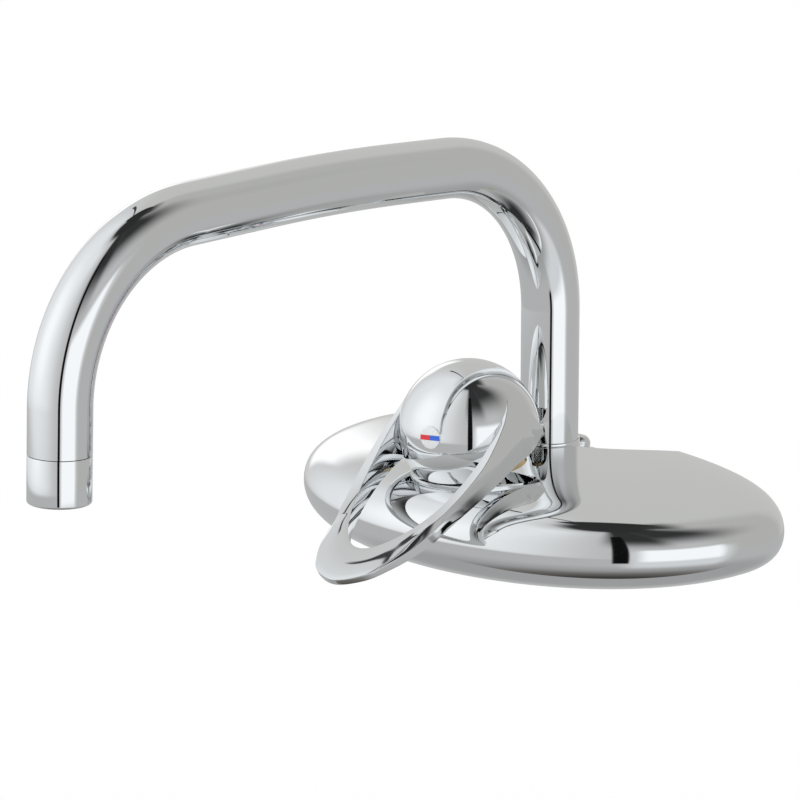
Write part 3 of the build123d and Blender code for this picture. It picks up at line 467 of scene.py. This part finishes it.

# %% [markdown]
# ## The ball handle and its loop
#
# This is the part a hand holds, and the most shapely one: a ball with a long loop cast on it.
# Each arm of the loop leaves the ball's side flush, so that ball and arm share one skin, and
# then stands clear of it. The arms' tops are narrow flat lands that run round the finger hole, and their
# outer sides start upright and lie down towards the tip, where they become the flat paddle.
# A box or a curve can't do that twist, so the loop is a loft: a few listed sections from
# heel to tip, a smooth curve through them, and faces between. The ball, the hollow,
# the boss for the spindle and the indicator's seat are then joined or cut with booleans.

# %% Sizes of the handle, and the lever's own frame
BALL_R = 29.8 * MM
BALL_WALL = 3.0 * MM
RIM_DROP = 9.2 * MM
REST_LEAN = radians(7)
LAND_EDGE = 0.55 * MM
HUB_R = 8.5 * MM
HUB_LOW = 5.5 * MM
STEM_FLATS = 8.08 * MM
STEM_TOP = 17.1 * MM
INDICATOR_RISE = radians(25.2)
INDICATOR_R = 4.8 * MM
INDICATOR_FLOOR = 27.6 * MM
GRUB_R = 2.53 * MM
GRUB_HEIGHT = 11.6 * MM

sideways = -Vector(joints["handle_lift"]["axis"]).normalized()
forward = sideways.cross(AXIS_UP)
lever_out = forward * cos(REST_LEAN) - AXIS_UP * sin(REST_LEAN)
lever_up = AXIS_UP * cos(REST_LEAN) + forward * sin(REST_LEAN)
lever = frame_at(BALL_CENTRE, lever_out, lever_up)

# %% The loop's sections
# Each row is one section of the right arm, in millimetres from the ball's centre:
# outer edge (out, side), inner edge (out, side), height of the land, its width,
# height of the shoulder on the outer side, and height of the underside.
LOOP_SECTIONS = [
    (-10.0, 30.6, -9.5, 22.0, -1.0, 6.0, -2.5, -5.5),
    (-5.0, 30.2, -5.0, 22.5, 9.0, 6.0, -1.0, -7.6),
    (0.0, 29.9, 0.0, 22.8, 17.0, 6.0, 4.0, -8.0),
    (6.0, 29.83, 6.0, 23.8, 14.6, 5.0, 3.0, -8.0),
    (12.0, 29.82, 12.0, 25.0, 12.0, 4.6, 2.0, -7.7),
    (24.0, 29.8, 24.0, 25.3, 8.5, 4.6, 0.5, -7.0),
    (35.0, 29.2, 35.0, 24.6, 5.6, 4.6, -0.5, -6.6),
    (48.0, 27.5, 47.5, 22.9, 3.2, 4.6, -1.2, -6.7),
    (60.0, 25.5, 58.5, 20.8, 1.6, 4.4, -1.6, -7.0),
    (74.0, 23.9, 69.0, 17.6, 0.7, 3.8, -1.6, -6.8),
    (87.0, 21.3, 78.0, 13.4, 0.2, 3.2, -1.3, -5.6),
    (98.0, 17.0, 84.5, 9.0, 0.0, 3.0, -1.0, -4.6),
    (106.8, 11.2, 88.6, 4.6, -0.1, 2.9, -0.9, -4.0),
    (112.0, 0.0, 90.0, 0.0, -0.1, 2.8, -0.8, -3.7),
]
STEPS_BETWEEN = 8
FACE_STEPS = 6
UNDER_STEPS = 3
FACE_CROWN = 0.5
UPRIGHT_FADE = 6.0
LOOP_CORNER = radians(38)


def mirrored(row):
    return (row[0], -row[1], row[2], -row[3]) + row[4:]


def smooth_rows(rows, steps):
    """A curve through the listed rows, passing through each one and round the tip."""
    fine = []
    last = len(rows) - 1
    ahead = rows + [mirrored(rows[-2])]
    for i in range(last):
        before, here, there, beyond = ahead[max(i - 1, 0)], ahead[i], ahead[i + 1], ahead[i + 2]
        for step in range(steps):
            t = step / steps
            fine.append(tuple(
                0.5 * (2 * q + (r - p) * t + (2 * p - 5 * q + 4 * r - s) * t ** 2
                       + (3 * q - p - 3 * r + s) * t ** 3)
                for p, q, r, s in zip(before, here, there, beyond)
            ))
    return fine + [rows[last]]


def loop_section(row):
    """The ring of points of one section, in the lever's frame."""
    outer = Vector(row[0:2])
    inner = Vector(row[2:4])
    land_height, land_width, shoulder_height, under = row[4:8]
    across = (outer - inner).normalized()
    full = (outer - inner).length
    ball_r = BALL_R / MM

    def round_in(height):
        """How far the outer side draws in at a height, as it follows the ball's curve."""
        return ball_r - sqrt(ball_r ** 2 - height ** 2)

    land = inner + across * min(land_width, full - round_in(land_height))
    shoulder = outer - across * round_in(shoulder_height)
    foot = outer - across * (round_in(under) + 0.3)
    ring = [(inner.x, inner.y, under + 0.6), (inner.x, inner.y, land_height - 0.1)]
    for step in range(FACE_STEPS + 1):
        share = step / FACE_STEPS
        height = land_height + (shoulder_height - land_height) * share
        flat = land + (shoulder - land) * share
        on_ball = outer - across * round_in(height)
        upright = max(0.0, 1 - (shoulder - land).length / UPRIGHT_FADE)
        point = flat + (on_ball - flat) * upright
        crown = FACE_CROWN * sin(pi * share) * (1 - upright)
        ring.append((point.x, point.y, height + crown))
    for step in range(1, UNDER_STEPS + 1):
        share = step / UNDER_STEPS
        height = shoulder_height + (under - shoulder_height) * share
        flat = shoulder + (foot - shoulder) * share
        ring.append((flat.x, flat.y, height))
    middle = (foot + inner) / 2
    ring.append((middle.x, middle.y, under - 0.1))
    return ring


def make_loop():
    half = smooth_rows(LOOP_SECTIONS, STEPS_BETWEEN)
    rows = half + [mirrored(row) for row in reversed(half[:-1])]
    rings = [loop_section(row) for row in rows]
    count = len(rings[0])
    points = [tuple(v * MM for v in point) for ring in rings for point in ring]
    faces = []
    for i in range(len(rings) - 1):
        for k in range(count):
            after = (k + 1) % count
            faces.append((i * count + k, i * count + after, (i + 1) * count + after, (i + 1) * count + k))
    faces.append(tuple(range(count)))
    faces.append(tuple((len(rings) - 1) * count + k for k in reversed(range(count))))
    mesh = bpy.data.meshes.new("loop")
    mesh.from_pydata(points, [], faces)
    piece = bpy.data.objects.new("loop", mesh)
    bpy.context.scene.collection.objects.link(piece)
    clean(piece)
    return apply_modifier(piece, "BEVEL", width=LAND_EDGE, segments=3, limit_method="ANGLE",
                          angle_limit=LOOP_CORNER)


# %% Join the ball and the loop, then hollow them
BALL_SIDES = 192
HOLLOW_SIDES = 96
BORE_SIDES = 64
SCREW_SIDES = 48
HANDLE_CREASE = 32
INDICATOR_FIT = 0.03 * MM
LOCAL = Matrix.Identity(4)
indicator_out = Vector((cos(INDICATOR_RISE), 0, sin(INDICATOR_RISE)))
indicator_local = frame_at(Vector((0, 0, 0)), Vector((0, 1, 0)), indicator_out)
grub_local = frame_at(Vector((0, 0, GRUB_HEIGHT)), Vector((0, 1, 0)), Vector((1, 0, 0)))


def ball(name, radius, sides):
    deselect_all()
    bpy.ops.mesh.primitive_uv_sphere_add(segments=sides, ring_count=sides // 2, radius=radius)
    return settle(named(name))


def make_handle():
    handle = combine(ball("ball_handle", BALL_R, BALL_SIDES), make_loop(), "UNION")
    hollow_r = BALL_R - BALL_WALL
    combine(handle, ball("hollow", hollow_r, HOLLOW_SIDES), "DIFFERENCE")
    below_rim = rod("below_rim", LOCAL, BALL_R * 0.999, -BALL_R * 2, -RIM_DROP, BALL_SIDES)
    combine(handle, below_rim, "DIFFERENCE")
    combine(handle, rod("hub", LOCAL, HUB_R, HUB_LOW, hollow_r + BALL_WALL / 3, BORE_SIDES), "UNION")
    socket = block("socket", (STEM_FLATS, STEM_FLATS, STEM_TOP), (0, 0, STEM_TOP / 2))
    combine(handle, socket, "DIFFERENCE")
    combine(handle, rod("grub_hole", grub_local, GRUB_R, 0, BALL_R * 0.98, SCREW_SIDES), "DIFFERENCE")
    seat_r = INDICATOR_R + INDICATOR_FIT
    seat = rod("seat", indicator_local, seat_r, INDICATOR_FLOOR, BALL_R * 1.2, BORE_SIDES)
    combine(handle, seat, "DIFFERENCE")
    clean(handle)
    place(handle, lever)
    return smooth(handle, HANDLE_CREASE)


keep(make_handle(), "lever", "handle", "chrome")

# %% [markdown]
# ## The indicator
#
# A small round plug covers the grub screw and carries the hot and cold marks. It is a short
# cylinder with a softly rounded rim. A slot is cut across its face for the two coloured
# inlays, which are already right in the CAD, so they stay and only get their colours.

# %% Make the indicator's plug
INDICATOR_PROUD = 0.8 * MM
MARK_WIDTH = 2.1 * MM
MARK_SINK = 0.35 * MM
PLUG_EDGE = 0.45 * MM
TRIM_CREASE = 35
indicator_face = sqrt(BALL_R ** 2 - INDICATOR_R ** 2) + INDICATOR_PROUD


def make_plug():
    face = indicator_face - INDICATOR_FIT
    plug = rod("indicator", LOCAL, INDICATOR_R, INDICATOR_FLOOR, face)
    select_in_edit_mode(plug, edges=edges_at(face))
    bpy.ops.mesh.bevel(offset=PLUG_EDGE, segments=5, affect="EDGES")
    bpy.ops.object.mode_set(mode="OBJECT")
    slot = block("slot", (2 * INDICATOR_R - 0.2 * MM, MARK_WIDTH, 2 * MARK_SINK), (0, 0, indicator_face))
    combine(plug, slot, "DIFFERENCE")
    clean(plug)
    place(plug, lever @ indicator_local)
    return smooth(plug, TRIM_CREASE)


keep(make_plug(), "lever", "indicator_plug", "plug_silver")

# %% [markdown]
# ## The cover's screw
#
# A domed screw holds the cover down in its hollow, behind the riser. A short cylinder, its top
# rounded over by one wide bevel and slotted for a driver, is all it needs at this size.

# %% Make the cover's screw
SCREW_DEPTH = 13.3 * MM
SCREW_R = 2.5 * MM
SCREW_LENGTH = 14.0 * MM
SCREW_HEAD_R = 5.0 * MM
SCREW_HEAD_HEIGHT = 5.2 * MM
SCREW_SLOT = 1.2 * MM
SCREW_SEAT = 0.02 * MM
SCREW_DOME = 0.72


def make_screw():
    height = SCOOP_BACK_HEIGHT + SCREW_DEPTH * sin(SCOOP_SLOPE) / cos(SCOOP_SLOPE)
    where = frame_at(Vector((0, -SCREW_DEPTH, height)), X_AXIS, scoop_up)
    seat = SCREW_HEAD_R ** 2 / (2 * SCOOP_R) + SCREW_SEAT
    screw = rod("domed_screw", LOCAL, SCREW_HEAD_R, seat, SCREW_HEAD_HEIGHT, BORE_SIDES)
    select_in_edit_mode(screw, edges=edges_at(SCREW_HEAD_HEIGHT))
    bpy.ops.mesh.bevel(offset=SCREW_HEAD_HEIGHT * SCREW_DOME, segments=10, affect="EDGES")
    bpy.ops.object.mode_set(mode="OBJECT")
    shank = rod("shank", LOCAL, SCREW_R, -SCREW_LENGTH, SCREW_HEAD_HEIGHT / 2, SCREW_SIDES)
    combine(screw, shank, "UNION")
    slot_size = (SCREW_SLOT, SCREW_HEAD_R * 3, SCREW_HEAD_HEIGHT)
    slot = block("slot", slot_size, (0, 0, SCREW_HEAD_HEIGHT * 1.2))
    combine(screw, slot, "DIFFERENCE")
    clean(screw)
    place(screw, where)
    return smooth(screw, TRIM_CREASE)


keep(make_screw(), "body", "cover_screw", "chrome")

# %% [markdown]
# ## Surface effects shared by the finishes
#
# Real metal is never perfectly even: polish leaves faint haze, and castings ripple a little.
# Two small node groups give those effects, each built once and placed in every material with
# its own values. They read Object coordinates, which stay with the piece as it moves.

# %% Node groups for haze and ripple
def new_group(name, inputs, outputs):
    group = bpy.data.node_groups.new(name, "ShaderNodeTree")
    for label, kind, value in inputs:
        socket = group.interface.new_socket(label, in_out="INPUT", socket_type=kind)
        socket.default_value = value
    for label, kind in outputs:
        group.interface.new_socket(label, in_out="OUTPUT", socket_type=kind)
    start = group.nodes.new("NodeGroupInput")
    end = group.nodes.new("NodeGroupOutput")
    return group, start, end


def make_haze():
    """Roughness that varies softly between two values, as wiped and polished metal does."""
    group, start, end = new_group(
        "soft haze",
        [("Scale", "NodeSocketFloat", 60.0), ("Low", "NodeSocketFloat", 0.04),
         ("High", "NodeSocketFloat", 0.08)],
        [("Roughness", "NodeSocketFloat")],
    )
    where = group.nodes.new("ShaderNodeTexCoord")
    noise = group.nodes.new("ShaderNodeTexNoise")
    noise.inputs["Detail"].default_value = 3
    spread = group.nodes.new("ShaderNodeMapRange")
    spread.inputs["From Min"].default_value = 0.3
    spread.inputs["From Max"].default_value = 0.7
    group.links.new(where.outputs["Object"], noise.inputs["Vector"])
    group.links.new(start.outputs["Scale"], noise.inputs["Scale"])
    group.links.new(noise.outputs["Fac"], spread.inputs["Value"])
    group.links.new(start.outputs["Low"], spread.inputs["To Min"])
    group.links.new(start.outputs["High"], spread.inputs["To Max"])
    group.links.new(spread.outputs["Result"], end.inputs["Roughness"])
    return group


def make_ripple():
    """A faint bump, broad for a casting and fine for a moulding."""
    group, start, end = new_group(
        "surface ripple",
        [("Scale", "NodeSocketFloat", 40.0), ("Strength", "NodeSocketFloat", 0.05),
         ("Height", "NodeSocketFloat", 0.0001)],
        [("Normal", "NodeSocketVector")],
    )
    where = group.nodes.new("ShaderNodeTexCoord")
    noise = group.nodes.new("ShaderNodeTexNoise")
    noise.inputs["Detail"].default_value = 2
    bump = group.nodes.new("ShaderNodeBump")
    group.links.new(where.outputs["Object"], noise.inputs["Vector"])
    group.links.new(start.outputs["Scale"], noise.inputs["Scale"])
    group.links.new(noise.outputs["Fac"], bump.inputs["Height"])
    group.links.new(start.outputs["Strength"], bump.inputs["Strength"])
    group.links.new(start.outputs["Height"], bump.inputs["Distance"])
    group.links.new(bump.outputs["Normal"], end.inputs["Normal"])
    return group


haze = make_haze()
ripple = make_ripple()


def finish_of(name, colour, metallic, low, high, haze_scale, ripple_scale, strength, height):
    """A material with haze and ripple of its own on one Principled shader."""
    material = bpy.data.materials.new(name)
    material.use_nodes = True
    tree = material.node_tree
    shader = tree.nodes["Principled BSDF"]
    shader.inputs["Base Color"].default_value = (*colour, 1)
    shader.inputs["Metallic"].default_value = metallic

    def effect(group, **values):
        node = tree.nodes.new("ShaderNodeGroup")
        node.node_tree = group
        for socket, value in values.items():
            node.inputs[socket].default_value = value
        return node

    hazed = effect(haze, Scale=haze_scale, Low=low, High=high)
    tree.links.new(hazed.outputs["Roughness"], shader.inputs["Roughness"])
    rippled = effect(ripple, Scale=ripple_scale, Strength=strength, Height=height)
    tree.links.new(rippled.outputs["Normal"], shader.inputs["Normal"])
    return material


# %% [markdown]
# ## The finishes
#
# The outside is chrome, so its colour barely matters next to what it reflects: it is a nearly white
# metal with very little roughness. The inside pieces are bare brass, stainless steel,
# moulded plastic, black rubber and white ceramic, seen only from behind or below.

# %% Make the materials and put them on every piece
# Each row: slot, name, colour, metallic, least and most roughness, then the scales of the haze and
# of the ripple, and the ripple's strength and height.
FINISH_ROWS = [
    ("chrome", "polished_chrome", (0.83, 0.845, 0.855), 1.0, 0.02, 0.045, 30, 9, 0.12, 0.0002),
    ("brass", "bare_brass", (0.78, 0.58, 0.3), 1.0, 0.22, 0.42, 120, 260, 0.3, 0.0002),
    ("steel", "turned_steel", (0.6, 0.6, 0.61), 1.0, 0.2, 0.34, 400, 700, 0.25, 0.00005),
    ("rubber", "sealing_rubber", (0.03, 0.03, 0.032), 0.0, 0.55, 0.75, 300, 600, 0.3, 0.0001),
    ("white_plastic", "moulded_plastic", (0.82, 0.82, 0.79), 0.0, 0.38, 0.5, 200, 500, 0.15, 0.00005),
    ("ceramic", "lapped_ceramic", (0.9, 0.89, 0.85), 0.0, 0.12, 0.2, 150, 900, 0.08, 0.00002),
    ("plug_silver", "satin_silver", (0.86, 0.87, 0.88), 0.35, 0.3, 0.4, 400, 900, 0.1, 0.00002),
    ("hot_mark", "red_inlay", (0.78, 0.03, 0.045), 0.0, 0.25, 0.32, 500, 900, 0.1, 0.00002),
    ("cold_mark", "blue_inlay", (0.03, 0.14, 0.72), 0.0, 0.25, 0.32, 500, 900, 0.1, 0.00002),
]
FINISHES = {row[0]: finish_of(*row[1:]) for row in FINISH_ROWS}


def dress(piece, material):
    piece.data.materials.clear()
    piece.data.materials.append(material)


slot_of_node = {part["node"]: part["material_slot"] for part in frame["record"]["subparts"]}
for name, piece in nodes.items():
    dress(piece, FINISHES[slot_of_node[name]])
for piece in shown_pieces():
    if "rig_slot" in piece:
        dress(piece, FINISHES[piece["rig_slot"]])
print("finishes", len(FINISHES))

# %% [markdown]
# ## The studio
#
# Chrome is a mirror, so the studio is most of what one sees. The world is a pale tent with soft
# boxes in front and at the right, gaps overhead and a narrow slit for the camera. Each one is a
# soft-edged patch of directions, laid over the ones before it. Its azimuth is counted in degrees
# from the middle of the room towards the right, and its elevation upwards from the horizon.
# Only mirror-like rays see the tent. The camera and matt surfaces see plain white light.

# %% The tent's patches
PLAIN = (1.0, 1.0, 1.0)
COOL = (0.985, 1.0, 1.012)
OLIVE = (1.0, 0.995, 0.965)
BROWN = (1.0, 0.93, 0.87)
TENT_LEVEL = 182
# Each row: azimuth, half width, blur, elevation, half height, blur, brightness in chrome, tint.
TENT_PATCHES = {
    "back panel": (-150, 34, 20, 30, 60, 20, 187, OLIVE),
    "right rear panel": (142, 40, 24, 30, 60, 20, 172, OLIVE),
    "front panel": (-45, 62, 50, 31, 43, 14, 223, COOL),
    "front soft box": (-40, 24, 40, 22, 26, 40, 248, COOL),
    "table": (0, 181, 1, -90, 78, 3, 172, PLAIN),
    "table below": (0, 181, 1, -90, 50, 22, 152, PLAIN),
    "table near the front": (45, 90, 3, -90, 32, 24, 98, BROWN),
    "table at the foot": (45, 90, 3, -90, 15, 20, 62, BROWN),
    "right soft box glow": (80, 30, 14, -14, 26, 16, 205, COOL),
    "right soft box": (80, 24, 8, -2, 18, 8, 246, COOL),
    "gap over the right": (95, 40, 50, 85, 40, 40, 52, PLAIN),
    "gap over the camera": (57, 17, 14, 70, 35, 40, 50, PLAIN),
    "gap at the right rear": (165, 25, 20, 90, 18, 10, 60, PLAIN),
    "gap overhead": (0, 181, 1, 90, 11, 6, 48, PLAIN),
    "gap over the back": (-140, 45, 6, 90, 15, 1.5, 47, PLAIN),
    "camera slit": (46, 4, 1.5, 20, 45, 4, 22, PLAIN),
    "seam at the left": (-113, 1.2, 0.8, 61, 16, 3, 60, PLAIN),
    "left lamp": (-122, 9, 7, 10, 11, 8, 252, PLAIN),
}
CHROME_SHARE = 0.84
DISPLAY_POWER = 2.2
DISPLAY_WHITE = 255


def tent_colour(level, tint):
    """The light that makes chrome show a given brightness."""
    light = (level / DISPLAY_WHITE) ** DISPLAY_POWER / CHROME_SHARE
    return tuple(light * share for share in tint)


# %% Make the world
def make_world():
    world = bpy.data.worlds.new("white_tent")
    world.use_nodes = True
    bpy.context.scene.world = world
    tree = world.node_tree
    tree.nodes.clear()

    def maths(operation, *inputs):
        node = tree.nodes.new("ShaderNodeMath")
        node.operation = operation
        for socket, value in zip(node.inputs, inputs):
            if isinstance(value, (int, float)):
                socket.default_value = value
            else:
                tree.links.new(value, socket)
        return node.outputs["Value"]

    def inside(distance, half, blur):
        """One inside the edge, nothing outside it, with a soft step between."""
        step = tree.nodes.new("ShaderNodeMapRange")
        step.interpolation_type = "SMOOTHSTEP"
        tree.links.new(distance, step.inputs["Value"])
        step.inputs["From Min"].default_value = half + blur / 2
        step.inputs["From Max"].default_value = half - blur / 2
        return step.outputs["Result"]

    where = tree.nodes.new("ShaderNodeTexCoord")
    split = tree.nodes.new("ShaderNodeSeparateXYZ")
    tree.links.new(where.outputs["Generated"], split.inputs["Vector"])
    to_the_front = maths("MULTIPLY", split.outputs["Y"], -1)
    azimuth = maths("DEGREES", maths("ARCTAN2", split.outputs["X"], to_the_front))
    elevation = maths("DEGREES", maths("ARCSINE", split.outputs["Z"]))

    colour = tree.nodes.new("ShaderNodeRGB").outputs["Color"]
    colour.default_value = (*tent_colour(TENT_LEVEL, PLAIN), 1)
    for label, (side, wide, side_blur, height, tall, height_blur, level, tint) in TENT_PATCHES.items():
        aside = maths("ABSOLUTE", maths("WRAP", maths("SUBTRACT", azimuth, side), 180, -180))
        above = maths("ABSOLUTE", maths("SUBTRACT", elevation, height))
        share = maths("MULTIPLY", inside(aside, wide, side_blur), inside(above, tall, height_blur))
        mix = tree.nodes.new("ShaderNodeMixRGB")
        mix.label = label
        mix.inputs["Color2"].default_value = (*tent_colour(level, tint), 1)
        tree.links.new(share, mix.inputs["Fac"])
        tree.links.new(colour, mix.inputs["Color1"])
        colour = mix.outputs["Color"]

    tent = tree.nodes.new("ShaderNodeBackground")
    tree.links.new(colour, tent.inputs["Color"])
    white = tree.nodes.new("ShaderNodeBackground")
    white.inputs["Color"].default_value = (1, 1, 1, 1)
    path = tree.nodes.new("ShaderNodeLightPath")
    mirrored_ray = maths("MAXIMUM", path.outputs["Is Glossy Ray"], path.outputs["Is Transmission Ray"])
    choose = tree.nodes.new("ShaderNodeMixShader")
    output = tree.nodes.new("ShaderNodeOutputWorld")
    tree.links.new(mirrored_ray, choose.inputs["Fac"])
    tree.links.new(white.outputs["Background"], choose.inputs[1])
    tree.links.new(tent.outputs["Background"], choose.inputs[2])
    tree.links.new(choose.outputs["Shader"], output.inputs["Surface"])


make_world()

# %% [markdown]
# ## The floor
#
# A wall tap hangs well above its worktop, so the floor lies far below it, plain and white. It is
# hidden from mirror-like rays, because the tent's lower half already stands for the table there.

# %% Lay the floor
FLOOR_SIZE = 24
FLOOR_HEIGHT = -0.45


def make_floor():
    deselect_all()
    bpy.ops.mesh.primitive_plane_add(size=FLOOR_SIZE, location=(0, 0, FLOOR_HEIGHT))
    floor = named("floor")
    material = bpy.data.materials.new("white_floor")
    material.use_nodes = True
    shader = material.node_tree.nodes["Principled BSDF"]
    shader.inputs["Base Color"].default_value = (1, 1, 1, 1)
    shader.inputs["Roughness"].default_value = 1.0
    shader.inputs["Specular IOR Level"].default_value = 0.0
    dress(floor, material)
    floor.visible_glossy = False


make_floor()

# %% The camera, at the photograph's angle
CAMERA_AT = Vector((1.0651, -1.1879, 0.4183))
CAMERA_TARGET = Vector((-0.0454, -0.0774, 0.0414))
LENS = 169.2
SENSOR_WIDTH = 36
FAR_LIMIT = 20


def make_camera():
    data = bpy.data.cameras.new("camera")
    camera = bpy.data.objects.new("camera", data)
    bpy.context.scene.collection.objects.link(camera)
    data.lens = LENS
    data.sensor_width = SENSOR_WIDTH
    data.clip_end = FAR_LIMIT
    camera.location = CAMERA_AT
    camera.rotation_euler = (CAMERA_TARGET - CAMERA_AT).to_track_quat("-Z", "Y").to_euler()
    bpy.context.scene.camera = camera


make_camera()
bpy.context.scene.view_settings.view_transform = "Standard"
